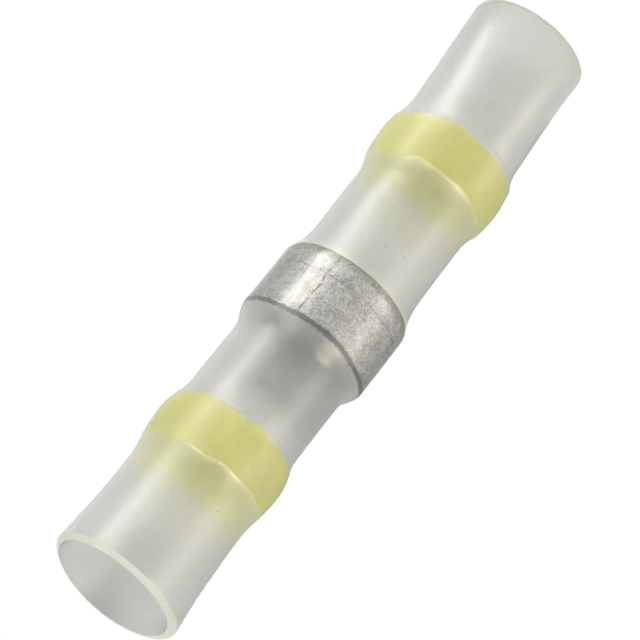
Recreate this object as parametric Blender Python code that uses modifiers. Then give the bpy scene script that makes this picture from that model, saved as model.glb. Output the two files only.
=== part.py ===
"""Solder-seal heat-shrink butt connector, standing on its square-cut end.

A translucent heat-shrink sleeve carries three rings on one axis: a solder ring
near the middle, where the two bare wire ends meet, and a hot-melt sealing ring
towards either end. The sleeve has been drawn in a little between the rings, so
that it holds them: over each ring it stands out as a soft bulge, and it opens
slightly at both ends. Its upper mouth is cut a little askew.

Lengths are in metres, +Z runs up the axis, and the lower rim lies on z = 0.
"""

import math
from typing import NamedTuple

import bpy

# Sleeve
SLEEVE_LENGTH = 0.0420  # on the axis, from the floor to the middle of the mouth
SLEEVE_WALL = 0.00055
NECK_DIAMETER = 0.0075  # outside, between the rings
LOWER_SECTION_DIAMETER = 0.0076  # outside, next to the lower sealing ring
LOWER_MOUTH_DIAMETER = 0.00777
LOWER_FLARE_LENGTH = 0.0065
UPPER_SECTION_DIAMETER = 0.0077
UPPER_MOUTH_DIAMETER = 0.00833
UPPER_FLARE_LENGTH = 0.0061
RIM_ROUNDING = 0.0001
MOUTH_RISE = 0.00147  # how much higher the back of the upper mouth is than its front
MOUTH_SKEW = 0.0004  # and its -X side than its +X side

# Hot-melt sealing rings. A fall is how much smaller the outside's radius is at an
# edge than at the middle, and a drape is how long the sleeve takes to come down.
SEAL_BORE = 0.0060
SEAL_WIDTH = 0.0032
SEAL_ROUNDING = 0.00015
LOWER_SEAL_INSET = 0.0104  # from the lower rim to the ring's middle
LOWER_SEAL_WALL = 0.00070
LOWER_SEAL_FALL_ABOVE = 0.00017
LOWER_SEAL_FALL_BELOW = 0.00015
LOWER_SEAL_DRAPE_ABOVE = 0.00165
LOWER_SEAL_DRAPE_BELOW = 0.0016
UPPER_SEAL_INSET = 0.0097  # from the upper rim to the ring's middle
UPPER_SEAL_WALL = 0.00062
UPPER_SEAL_FALL_ABOVE = 0.00015
UPPER_SEAL_FALL_BELOW = 0.00024
UPPER_SEAL_DRAPE_ABOVE = 0.0019
UPPER_SEAL_DRAPE_BELOW = 0.00097

# Solder ring
SOLDER_BORE = 0.0060
SOLDER_WALL = 0.00072
SOLDER_WIDTH = 0.0042
SOLDER_OFFSET = 0.0008  # above the middle of the sleeve
SOLDER_ROUNDING = 0.00006
SOLDER_SHOULDER = 0.00042  # height of the slope that ends its outside at the bottom
SOLDER_SHOULDER_FALL = 0.00012
SOLDER_DRAPE_ABOVE = 0.0019
SOLDER_DRAPE_BELOW = 0.00195

SEAT_CLEARANCE = 0.00003  # between a ring's outside and the bore that grips it

# Fineness of the turned surfaces
TURN_STEPS = 40
DRAPE_STEPS = 4
FALL_STEPS = 3
FLARE_STEPS = 4
ARC_STEPS = 2
WELD_DISTANCE = 0.000001

# Finishes: base colour, roughness, metallic, transmission
SLEEVE_FINISH = ((0.74, 0.76, 0.70), 0.42, 0.0, 0.6)
SEAL_FINISH = ((0.61, 0.60, 0.21), 0.48, 0.0, 0.1)
SOLDER_FINISH = ((0.60, 0.59, 0.56), 0.38, 1.0, 0.0)


class Side(NamedTuple):
    """The upper or lower side of a ring, and the sleeve that comes down from it."""

    fall: float
    fall_length: float
    drape: float
    taut: bool  # the sleeve leaves along the ring's slope, not level

    def fallen(self, from_edge):
        """How much smaller the outside's radius is at a distance inside the edge."""
        share = clamped(1.0 - from_edge / self.fall_length)
        return self.fall * share**2

    def grip(self, past_edge):
        """1 where the sleeve lies on the ring, falling to 0 at the drape's end."""
        share = clamped(past_edge / self.drape)
        return (1.0 - share) ** 2 if self.taut else 1.0 - smooth_step(share)


class Ring(NamedTuple):
    """One ring inside the sleeve, by its own sizes."""

    name: str
    middle: float  # height above the lower rim
    width: float
    bore: float
    wall: float
    rounding: float
    above: Side
    below: Side
    finish: tuple

    def side(self, height):
        """The side that a height is on."""
        return self.above if height > self.middle else self.below

    def outside(self, height):
        """Outer radius at a height; past its edges, that of the nearer edge."""
        from_edge = max(self.width / 2 - abs(height - self.middle), 0.0)
        return self.bore / 2 + self.wall - self.side(height).fallen(from_edge)

    def outside_levels(self):
        """Levels about the middle, from the top, where the outside has a point."""
        half, levels = self.width / 2, set()
        if self.above.fall:
            levels.update(spread(half - self.above.fall_length, half, FALL_STEPS)[:-1])
        if self.below.fall:
            levels.update(spread(self.below.fall_length - half, -half, FALL_STEPS)[:-1])
        return sorted(levels, reverse=True)

    def grip(self, height):
        """1 where the sleeve lies on the ring, falling to 0 past its drape."""
        return self.side(height).grip(abs(height - self.middle) - self.seat())

    def seat(self):
        """Half the length of bore that lies on the ring."""
        return self.width / 2 + SEAT_CLEARANCE


def rings():
    """The three rings, from the lowest up."""
    return [lower_seal(), solder(), upper_seal()]


def lower_seal():
    """The sealing ring near the square-cut end."""
    half = SEAL_WIDTH / 2
    return Ring(
        "lower_sealing_ring", LOWER_SEAL_INSET, SEAL_WIDTH, SEAL_BORE, LOWER_SEAL_WALL, SEAL_ROUNDING,
        Side(LOWER_SEAL_FALL_ABOVE, half, LOWER_SEAL_DRAPE_ABOVE, True),
        Side(LOWER_SEAL_FALL_BELOW, half, LOWER_SEAL_DRAPE_BELOW, True),
        SEAL_FINISH,
    )


def upper_seal():
    """The sealing ring near the wide, slanting mouth."""
    half = SEAL_WIDTH / 2
    return Ring(
        "upper_sealing_ring", SLEEVE_LENGTH - UPPER_SEAL_INSET, SEAL_WIDTH, SEAL_BORE,
        UPPER_SEAL_WALL, SEAL_ROUNDING,
        Side(UPPER_SEAL_FALL_ABOVE, half, UPPER_SEAL_DRAPE_ABOVE, True),
        Side(UPPER_SEAL_FALL_BELOW, half, UPPER_SEAL_DRAPE_BELOW, True),
        SEAL_FINISH,
    )


def solder():
    """The solder ring: straight outside, square at the top, with a slope at the bottom."""
    return Ring(
        "solder_ring", SLEEVE_LENGTH / 2 + SOLDER_OFFSET, SOLDER_WIDTH, SOLDER_BORE,
        SOLDER_WALL, SOLDER_ROUNDING,
        Side(0.0, SOLDER_SHOULDER, SOLDER_DRAPE_ABOVE, False),
        Side(SOLDER_SHOULDER_FALL, SOLDER_SHOULDER, SOLDER_DRAPE_BELOW, True),
        SOLDER_FINISH,
    )


def clamped(share):
    """The share, kept from 0 to 1."""
    return min(max(share, 0.0), 1.0)


def smooth_step(share):
    """0 to 1 with level ends."""
    share = clamped(share)
    return share * share * (3.0 - 2.0 * share)


def flared(distance, length, section, mouth):
    """Radius at a distance from an end that opens from section to mouth diameter."""
    share = max(1.0 - distance / length, 0.0)
    return (section + (mouth - section) * share**2) / 2


def free_radius(height):
    """Outside radius that the sleeve has where no ring holds it out."""
    lower, _, upper = rings()
    if height < lower.middle:
        return flared(height, LOWER_FLARE_LENGTH, LOWER_SECTION_DIAMETER, LOWER_MOUTH_DIAMETER)
    if height > upper.middle:
        below_mouth = SLEEVE_LENGTH - height
        return flared(below_mouth, UPPER_FLARE_LENGTH, UPPER_SECTION_DIAMETER, UPPER_MOUTH_DIAMETER)
    return NECK_DIAMETER / 2


def sleeve_radius(height):
    """Outside radius of the sleeve, drawn onto the ring that grips it most there."""
    ring = max(rings(), key=lambda one: one.grip(height))
    seat = ring.outside(height) + SEAT_CLEARANCE + SLEEVE_WALL
    free = free_radius(height)
    return free + ring.grip(height) * (seat - free)


def spread(start, end, steps):
    """Evenly spaced values from start to end, both included."""
    return [start + (end - start) * step / steps for step in range(steps + 1)]


def sleeve_heights():
    """Heights at which the sleeve's section has a point, from the lower rim up."""
    wanted = spread(RIM_ROUNDING, LOWER_FLARE_LENGTH, FLARE_STEPS)
    wanted += spread(
        SLEEVE_LENGTH - UPPER_FLARE_LENGTH, SLEEVE_LENGTH - RIM_ROUNDING, FLARE_STEPS
    )
    for ring in rings():
        low_seat, high_seat = ring.middle - ring.seat(), ring.middle + ring.seat()
        wanted += spread(low_seat - ring.below.drape, low_seat, DRAPE_STEPS)
        wanted += [low_seat + SEAT_CLEARANCE, high_seat - SEAT_CLEARANCE]
        wanted += [ring.middle + level for level in ring.outside_levels()]
        wanted += spread(high_seat, high_seat + ring.above.drape, DRAPE_STEPS)
    low, high = RIM_ROUNDING, SLEEVE_LENGTH - RIM_ROUNDING
    inside = sorted(height for height in wanted if low <= height <= high)
    kept = [low]
    for height in inside:
        if height - kept[-1] > SEAT_CLEARANCE / 2:
            kept.append(height)
    return kept


def rounded_corner(corner, before, after, radius):
    """Points of a rounded corner, run from the side of before to the side of after."""
    start, end = (toward(corner, other, radius) for other in (before, after))
    points = []
    for share in spread(0.0, 1.0, ARC_STEPS):
        points.append(tuple(
            (1 - share) ** 2 * a + 2 * share * (1 - share) * c + share**2 * b
            for a, c, b in zip(start, corner, end)
        ))
    return points


def toward(point, other, distance):
    """The point moved a distance towards another, both as (radius, height)."""
    length = math.dist(point, other)
    return tuple(p + (o - p) * distance / length for p, o in zip(point, other))


def sleeve_section():
    """Closed outline of the wall: down the outside, under the lower rim, up the bore."""
    heights = sleeve_heights()
    rounding = min(RIM_ROUNDING, SLEEVE_WALL / 3)
    top_out, low_out = sleeve_radius(SLEEVE_LENGTH), sleeve_radius(0.0)
    top_in, low_in = top_out - SLEEVE_WALL, low_out - SLEEVE_WALL
    corners = [(low_out, 0.0), (low_in, 0.0), (top_in, SLEEVE_LENGTH), (top_out, SLEEVE_LENGTH)]

    body = heights[1:-1]
    outline = [(sleeve_radius(height), height) for height in reversed(body)]
    outline += rounded_corner(corners[0], outline[-1], corners[1], rounding)
    bore = [(sleeve_radius(height) - SLEEVE_WALL, height) for height in body]
    outline += rounded_corner(corners[1], corners[0], bore[0], rounding)
    outline += bore
    outline += rounded_corner(corners[2], bore[-1], corners[3], rounding)
    outline += rounded_corner(corners[3], corners[2], outline[0], rounding)
    return outline


def ring_section(ring):
    """Closed outline of a ring about its own middle, down the outside first."""
    half, bore = ring.width / 2, ring.bore / 2
    rounding = min(ring.rounding, ring.wall / 4)
    top, foot = (ring.outside(ring.middle + level) for level in (half, -half))
    corners = [(top, half), (foot, -half), (bore, -half), (bore, half)]
    outside = [(ring.outside(ring.middle + level), level) for level in ring.outside_levels()]

    outline = rounded_corner(corners[0], corners[3], outside[0], rounding)
    outline += outside
    outline += rounded_corner(corners[1], outside[-1], corners[2], rounding)
    outline += rounded_corner(corners[2], corners[1], corners[3], rounding)
    outline += rounded_corner(corners[3], corners[2], corners[0], rounding)
    return outline


def turned(name, outline, collection):
    """An object whose closed (radius, height) outline is turned once round its Z axis."""
    mesh = bpy.data.meshes.new(name)
    points = [(radius, 0.0, height) for radius, height in outline]
    edges = [(index, (index + 1) % len(points)) for index in range(len(points))]
    mesh.from_pydata(points, edges, [])
    body = bpy.data.objects.new(name, mesh)
    collection.objects.link(body)

    screw = body.modifiers.new("turn", "SCREW")
    screw.axis = "Z"
    screw.angle = math.tau
    screw.steps = TURN_STEPS
    screw.render_steps = TURN_STEPS
    screw.use_merge_vertices = True
    screw.merge_threshold = WELD_DISTANCE
    screw.use_smooth_shade = True
    return body


def keep_turned_shape(body):
    """Replace an object's outline and modifier by the mesh that they make."""
    graph = bpy.context.evaluated_depsgraph_get()
    mesh = bpy.data.meshes.new_from_object(body.evaluated_get(graph))
    outline = body.data
    body.modifiers.clear()
    body.data = mesh
    bpy.data.meshes.remove(outline)
    mesh.name = body.name


def slant_mouth(body):
    """Cut the mouth askew: the wall slides along the axis, most at the rim.

    The slide fades out below the flare, before it reaches the upper ring's seat.
    """
    mouth_radius = UPPER_MOUTH_DIAMETER / 2
    upper = rings()[-1]
    fade_start = max(SLEEVE_LENGTH - UPPER_FLARE_LENGTH, upper.middle + upper.seat())
    fade_length = SLEEVE_LENGTH - RIM_ROUNDING - fade_start
    for vertex in body.data.vertices:
        x, y, z = vertex.co
        askew = (MOUTH_RISE * y - MOUTH_SKEW * x) / (2 * mouth_radius)
        vertex.co.z = z + askew * smooth_step((z - fade_start) / fade_length)


def principled(name, finish):
    """A plain material from (base colour, roughness, metallic, transmission)."""
    colour, roughness, metallic, transmission = finish
    material = bpy.data.materials.new(name)
    material.use_nodes = True
    shader = material.node_tree.nodes["Principled BSDF"]
    shader.inputs["Base Color"].default_value = (*colour, 1.0)
    shader.inputs["Roughness"].default_value = roughness
    shader.inputs["Metallic"].default_value = metallic
    shader.inputs["Transmission Weight"].default_value = transmission
    material.diffuse_color = (*colour, 1.0)
    return material


def clear_scene():
    """Remove whatever objects the scene starts with."""
    for leftover in list(bpy.data.objects):
        bpy.data.objects.remove(leftover, do_unlink=True)


def build_sleeve(collection, axis):
    """The heat-shrink sleeve, with its bulges, flares and slanting mouth."""
    sleeve = turned("heat_shrink_sleeve", sleeve_section(), collection)
    keep_turned_shape(sleeve)
    slant_mouth(sleeve)
    sleeve.data.materials.append(principled("sleeve", SLEEVE_FINISH))
    sleeve.parent = axis


def build_ring(ring, collection, axis):
    """One ring at its height on the axis."""
    body = turned(ring.name, ring_section(ring), collection)
    body.data.materials.append(principled(ring.name, ring.finish))
    body.parent = axis
    body.location.z = ring.middle


def main():
    """Build the connector in a collection of its own."""
    clear_scene()
    collection = bpy.data.collections.new("heat_shrink_butt_connector")
    bpy.context.scene.collection.children.link(collection)
    axis = bpy.data.objects.new("connector_axis", None)
    axis.empty_display_size = NECK_DIAMETER
    collection.objects.link(axis)
    build_sleeve(collection, axis)
    for ring in rings():
        build_ring(ring, collection, axis)


if __name__ == "__main__":
    main()
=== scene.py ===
"""Looks of a solder-seal heat-shrink butt connector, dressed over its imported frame.

The connector stands on its square-cut end. Each of its four pieces is first turned
straight and round about the Z axis, as its maker made it, and then takes the shape
that shrinking gave the whole: wavy ring edges, a slanting mouth and a slight bow.
One shape moves every piece, so the rings stay seated in the sleeve.

Lengths are in metres and angles in degrees. A turn angle is 0 at the front, which
the camera looks at along +Y, and grows towards +X.
"""

import logging
import math
from bisect import bisect
from collections.abc import Iterable, Mapping, Sequence
from dataclasses import dataclass, field
from enum import Enum, IntEnum
from itertools import pairwise

import bpy
from bpy.types import Material, Node, NodeSocket as Socket, NodeTree, Object
from mathutils import Matrix, Vector, noise


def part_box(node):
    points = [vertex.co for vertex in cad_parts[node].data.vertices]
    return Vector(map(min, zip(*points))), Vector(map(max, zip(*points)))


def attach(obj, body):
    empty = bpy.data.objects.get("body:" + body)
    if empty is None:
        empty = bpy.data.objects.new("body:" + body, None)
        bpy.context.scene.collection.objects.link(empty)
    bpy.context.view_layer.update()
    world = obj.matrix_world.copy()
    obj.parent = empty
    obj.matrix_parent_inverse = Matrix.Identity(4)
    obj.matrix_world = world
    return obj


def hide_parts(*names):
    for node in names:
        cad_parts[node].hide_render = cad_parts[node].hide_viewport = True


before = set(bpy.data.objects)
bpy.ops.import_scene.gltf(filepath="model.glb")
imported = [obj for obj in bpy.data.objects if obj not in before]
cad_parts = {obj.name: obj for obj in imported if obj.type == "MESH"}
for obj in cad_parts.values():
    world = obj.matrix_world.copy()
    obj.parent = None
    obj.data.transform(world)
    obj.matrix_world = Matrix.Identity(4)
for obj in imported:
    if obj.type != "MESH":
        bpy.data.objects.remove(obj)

Colour = tuple[float, float, float]
Fade = tuple[float, float, float, float]
Outline = list[tuple[float, float]]

MM = 0.001
TURN_STEPS = 160
WELD_DISTANCE = 0.0005 * MM
SMOOTH_UP_TO = math.radians(55)
COARSE_AFTER = 6
TURNED_PLACE = "as_turned"
WHITE = (1.0, 1.0, 1.0)
WARM_WHITE = (1.0, 0.985, 0.96)
CREAM = (1.0, 0.96, 0.88)
AMBER = (1.0, 0.86, 0.62)
PANEL_ENDS = ((7.2 * MM, 0.5 * MM), (190 * MM, 38.7 * MM))

# How firm a band with a flat top is, and how much slower than the grain its tone is.
FIRM = 2.0
TONE_SCALE = 0.15

# Noise levels between which a roughness or a skin goes from its lowest to its highest.
MID_NOISE = (0.3, 0.7)
WIDE_NOISE = (0.25, 0.75)
HIGH_NOISE = (0.3, 0.9)

log = logging.getLogger("connector")


class Slot(Enum):
    """The record's material slots, which the pieces are given."""

    SLEEVE = "sleeve"
    HOT_MELT = "hot_melt"
    SOLDER = "solder"


class Leaving(Enum):
    """How the sleeve leaves the edge of a ring."""

    TAUT = "along the ring's own slope"
    BRIDGED = "level at first, then down in an S"


class Face(IntEnum):
    """The sleeve's kinds of faces, in the order of its finishes."""

    OUTSIDE = 0
    BORE = 1
    CUT = 2
    OVER_SOLDER = 3
    OVER_SEAL = 4


def clamped(share: float) -> float:
    """The share, kept from 0 to 1."""
    return min(max(share, 0.0), 1.0)


def smooth_step(share: float) -> float:
    """0 to 1 with level ends."""
    share = clamped(share)
    return share * share * (3.0 - 2.0 * share)


def graded(low: float, high: float, focuses: Iterable[float], fine: float, coarse: float) -> list[float]:
    """Heights that lie close together near each focus and further apart between them.

    Args:
        low: The first height.
        high: The last height.
        focuses: Heights near which the shape changes fast.
        fine: Step at a focus.
        coarse: Step away from every focus, from COARSE_AFTER such steps on.

    Returns:
        The heights from low to high, both included.
    """
    focuses = list(focuses)
    heights = [low]
    while heights[-1] < high - fine:
        nearest = min(abs(heights[-1] - focus) for focus in focuses)
        share = clamped(nearest / (COARSE_AFTER * coarse))
        heights.append(heights[-1] + fine + (coarse - fine) * share)
    heights[-1] = high
    return heights


def through_points(points: Sequence[tuple[float, float]], place: float) -> float:
    """Value at a place on the smooth curve through the given points.

    Args:
        points: Pairs of place and value, in the order of their places.
        place: Where the value is wanted; past an end, that end's value is returned.

    Returns:
        The value there.
    """
    places = [point[0] for point in points]
    after = bisect(places, place)
    if after in (0, len(points)):
        return points[min(after, len(points) - 1)][1]
    span = places[after] - places[after - 1]
    share = (place - places[after - 1]) / span
    leaving, arriving = (slope_at(points, index) * span for index in (after - 1, after))
    start, end = points[after - 1][1], points[after][1]
    level = start + (end - start) * smooth_step(share)
    return level + share * (1.0 - share) * ((1.0 - share) * leaving - share * arriving)


def slope_at(points: Sequence[tuple[float, float]], index: int) -> float:
    """Slope of the smooth curve at one of its points: level at both ends.

    Args:
        points: Pairs of place and value, in the order of their places.
        index: Number of the point.

    Returns:
        The slope there.
    """
    if index in (0, len(points) - 1):
        return 0.0
    (before, low), (after, high) = points[index - 1], points[index + 1]
    return (high - low) / (after - before)


def rounded(corner: tuple, before: tuple, after: tuple, radius: float, steps: int = 4) -> Outline:
    """Points of a rounded corner of an outline.

    Args:
        corner: The sharp corner as (radius, height).
        before: The outline's point before it.
        after: The outline's point after it.
        radius: How far along either side the rounding starts.
        steps: Number of straight runs that make the rounding.

    Returns:
        The points, from the side of before to the side of after.
    """
    here = Vector(corner)
    start = here + (Vector(before) - here).normalized() * radius
    end = here + (Vector(after) - here).normalized() * radius
    shares = (step / steps for step in range(steps + 1))
    return [tuple((1 - s) ** 2 * start + 2 * s * (1 - s) * here + s**2 * end) for s in shares]


@dataclass(frozen=True)
class WavyEdge:
    """How far one edge of a ring strays from square, round the ring.

    Args:
        height: Height of the square edge.
        strays: Pairs of turn angle and height above square, in degrees and millimetres,
            from -180 to 180 with the same height at both.
        below: Distance below the edge at which the straying has faded out.
        above: The same above the edge.
    """

    height: float
    strays: tuple[tuple[float, float], ...]
    below: float
    above: float

    def lift(self, angle: float, height: float) -> float:
        """How far a point is carried up with the edge.

        Args:
            angle: The point's turn angle in degrees.
            height: Its height.

        Returns:
            The distance up.
        """
        reach = self.above if height > self.height else self.below
        share = smooth_step(1.0 - abs(height - self.height) / reach)
        return share * through_points(self.strays, angle) * MM if share else 0.0


@dataclass(frozen=True)
class ShrunkShape:
    """The shape that shrinking and cutting gave to the straight, round connector.

    Args:
        edges: The wavy edges of the three rings.
        mouth_height: Height of the mouth on the axis.
        mouth_radius: Outer radius of the mouth.
        slant_length: Length of sleeve along which the mouth's slant fades out.
        rise: How much higher the mouth is at the back than at the front.
        skew: How much higher it is on its -X side than on its +X side.
        dip: How much lower both sides are than a flat cut would leave them.
        bow: Pairs of height and sideways offset of the axis, in millimetres.
        ripple: Most that the surface strays in or out from round.
        ripple_size: Size of one ripple.
    """

    edges: tuple[WavyEdge, ...]
    mouth_height: float
    mouth_radius: float
    slant_length: float
    rise: float = 1.47 * MM
    skew: float = 0.40 * MM
    dip: float = 0.17 * MM
    bow: tuple[tuple[float, float], ...] = (
        (0.0, 0.27), (7.0, -0.02), (10.4, -0.14), (15.5, -0.11), (21.8, -0.13), (27.0, 0.02), (34.0, 0.07),
    )
    ripple: float = 0.012 * MM
    ripple_size: float = 2.6 * MM

    def moved(self, place: Vector) -> Vector:
        """Where a point of the straight, round connector ends up.

        Args:
            place: The point's place on it.

        Returns:
            Its place on the shrunk connector.
        """
        x, y, z = place
        angle = math.degrees(math.atan2(x, -y))
        lift = sum(edge.lift(angle, z) for edge in self.edges)
        across, back = x / self.mouth_radius, y / self.mouth_radius
        askew = (self.rise * back - self.skew * across) / 2 - self.dip * across**2
        lift += askew * smooth_step(1.0 - (self.mouth_height - z) / self.slant_length)
        swell = 1.0 + self.ripple * noise.noise(place / self.ripple_size) / place.xy.length
        return Vector((x * swell + through_points(self.bow, z / MM) * MM, y * swell, z + lift))


@dataclass
class TurnedPiece:
    """A piece that is turned from a closed outline, shaped and dressed.

    Args:
        name: The piece's own name.
        nodes: The frame's nodes that it stands for.
        slot: The record's material slot that its finish comes from; not used.
    """

    name: str
    nodes: tuple[str, ...]
    slot: Slot

    def outline(self) -> Outline:
        """Closed (radius, height) outline of the piece's wall."""
        raise NotImplementedError

    def make(self, shape: ShrunkShape, *materials: Material) -> Object:
        """Model the piece, shape it, dress it and set it on the frame.

        Args:
            shape: What shrinking did to the whole connector.
            materials: The piece's finishes, in the order of its faces' finish numbers.

        Returns:
            The finished piece, at the origin with its place in its mesh.
        """
        piece = self._turn()
        for material in materials:
            piece.data.materials.append(material)
        for face in piece.data.polygons:
            face.material_index = self.finish_number(face.center.xy.length, face.center.z)
        self._shrink(piece, shape)
        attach(piece, "root")
        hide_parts(*self.nodes)
        log.info("%s: %d faces, stands for %s", piece.name, len(piece.data.polygons), ", ".join(self.nodes))
        return piece

    def _turn(self) -> Object:
        """Lay the outline point by point from a single vertex and spin it round Z.

        Returns:
            The piece, straight and round.
        """
        outline = self.outline()
        bpy.ops.object.select_all(action="DESELECT")
        bpy.ops.mesh.primitive_plane_add(size=MM)
        piece = bpy.context.object
        piece.name = piece.data.name = self.name
        bpy.ops.object.mode_set(mode="EDIT")
        bpy.ops.mesh.select_all(action="SELECT")
        bpy.ops.mesh.merge(type="CENTER")
        bpy.ops.transform.translate(value=(outline[0][0], 0.0, outline[0][1]))
        for here, there in pairwise(outline + outline[:1]):
            step = (there[0] - here[0], 0.0, there[1] - here[1])
            bpy.ops.mesh.extrude_region_move(TRANSFORM_OT_translate={"value": step})
        bpy.ops.mesh.select_all(action="SELECT")
        bpy.ops.mesh.spin(steps=TURN_STEPS, angle=math.tau, center=(0, 0, 0), axis=(0, 0, 1))
        bpy.ops.mesh.select_all(action="SELECT")
        bpy.ops.mesh.remove_doubles(threshold=WELD_DISTANCE)
        bpy.ops.mesh.normals_make_consistent(inside=False)
        bpy.ops.object.mode_set(mode="OBJECT")
        return piece

    def _shrink(self, piece: Object, shape: ShrunkShape) -> None:
        """Keep every point's turned place for the finishes, then move it by the shape.

        Args:
            piece: The turned piece.
            shape: What shrinking did to the whole connector.
        """
        turned = piece.data.attributes.new(TURNED_PLACE, "FLOAT_VECTOR", "POINT")
        for vertex, kept in zip(piece.data.vertices, turned.data):
            kept.vector = vertex.co
            vertex.co = shape.moved(self.uneven(vertex.co.copy()))
        bpy.ops.object.shade_smooth_by_angle(angle=SMOOTH_UP_TO)

    def uneven(self, place: Vector) -> Vector:
        """The piece's own unevenness, before the whole takes its shape."""
        return place

    def finish_number(self, radius: float, height: float) -> int:
        """Which of its finishes a face of the turned piece has."""
        return 0


@dataclass(frozen=True)
class Side:
    """The upper or lower side of a ring, and the sleeve that comes down from it.

    Args:
        fall: How much smaller the ring's outer radius is at its edge.
        drape: Length of sleeve that comes down past the edge.
        fall_length: Length along which the outside falls to that smaller radius.
        leaving: How the sleeve leaves the edge.
    """

    fall: float
    drape: float
    fall_length: float = 1.6 * MM
    leaving: Leaving = Leaving.TAUT

    def fallen(self, from_edge: float) -> float:
        """How much smaller the outer radius is at a distance inside the edge."""
        return self.fall * clamped(1.0 - from_edge / self.fall_length) ** 2

    def grip(self, past_edge: float) -> float:
        """How firmly the sleeve lies on the ring.

        Args:
            past_edge: Distance past the ring's edge; below 0 on the ring.

        Returns:
            1 on the ring, falling to 0 at the drape's end.
        """
        share = clamped(past_edge / self.drape)
        if self.leaving is Leaving.TAUT:
            return (1.0 - share) ** 2
        return 1.0 - smooth_step(share)


@dataclass
class Ring(TurnedPiece):
    """A ring inside the sleeve, in the space that its node has in the frame.

    Args:
        above: The side towards the wide mouth.
        below: The side towards the square-cut end.
        rounding: Rounding of the four corners of its section.
        dent: Most that its outside is pushed in by casting or moulding.
        dent_size: Size of one dent.
        pressed: How far the sleeve's grip presses its outside into the sleeve's wall.
        level_step: Distance between the points of its outside.
    """

    above: Side
    below: Side
    rounding: float
    dent: float
    dent_size: float
    pressed: float = 0.06 * MM
    level_step: float = 0.1 * MM
    low: float = field(init=False)
    high: float = field(init=False)
    bore: float = field(init=False)
    full: float = field(init=False)

    def __post_init__(self) -> None:
        """Measure the space that the frame gives the ring."""
        lowest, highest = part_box(self.nodes[0])
        radii = [vertex.co.xy.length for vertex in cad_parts[self.nodes[0]].data.vertices]
        self.low, self.high = lowest.z, highest.z
        self.bore, self.full = min(radii), max(radii)

    @property
    def middle(self) -> float:
        """Height of the ring's middle."""
        return (self.low + self.high) / 2

    def side(self, height: float) -> Side:
        """The side that a height is on."""
        return self.above if height > self.middle else self.below

    def outside(self, height: float) -> float:
        """Outer radius at a height; past the edges, that of the nearer edge."""
        from_edge = max(min(height - self.low, self.high - height), 0.0)
        return self.full - self.side(height).fallen(from_edge)

    def grip(self, height: float) -> float:
        """1 where the sleeve lies on the ring, falling to 0 past its drape."""
        return self.side(height).grip(max(self.low - height, height - self.high))

    def outline(self) -> Outline:
        """Down the outside, then up the bore, with four rounded corners.

        Returns:
            The closed outline of its section.
        """
        inner = graded(self.low, self.high, (self.low, self.high), self.level_step, self.level_step)[1:-1]
        outside = [(self.outside(height) + self.pressed, height) for height in reversed(inner)]
        bore = [(self.bore, height) for height in inner[::4]]
        corners = [
            (self.outside(self.high) + self.pressed, self.high),
            (self.outside(self.low) + self.pressed, self.low),
            (self.bore, self.low), (self.bore, self.high),
        ]
        points = rounded(corners[0], corners[3], outside[0], self.rounding)
        points += outside[2:-2]
        points += rounded(corners[1], outside[-1], corners[2], self.rounding)
        points += rounded(corners[2], corners[1], corners[3], self.rounding)
        points += bore[1:]
        points += rounded(corners[3], corners[2], corners[0], self.rounding)
        return points

    def uneven(self, place: Vector) -> Vector:
        """Push the outside in by soft dents; it never grows into the sleeve.

        Args:
            place: A point of the turned ring.

        Returns:
            Its place with the dents.
        """
        radius = place.xy.length
        if radius < (self.bore + self.full) / 2:
            return place
        depth = self.dent * (0.5 + 0.5 * noise.noise(place / self.dent_size))
        share = 1.0 - depth / radius
        return Vector((place.x * share, place.y * share, place.z))


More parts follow.
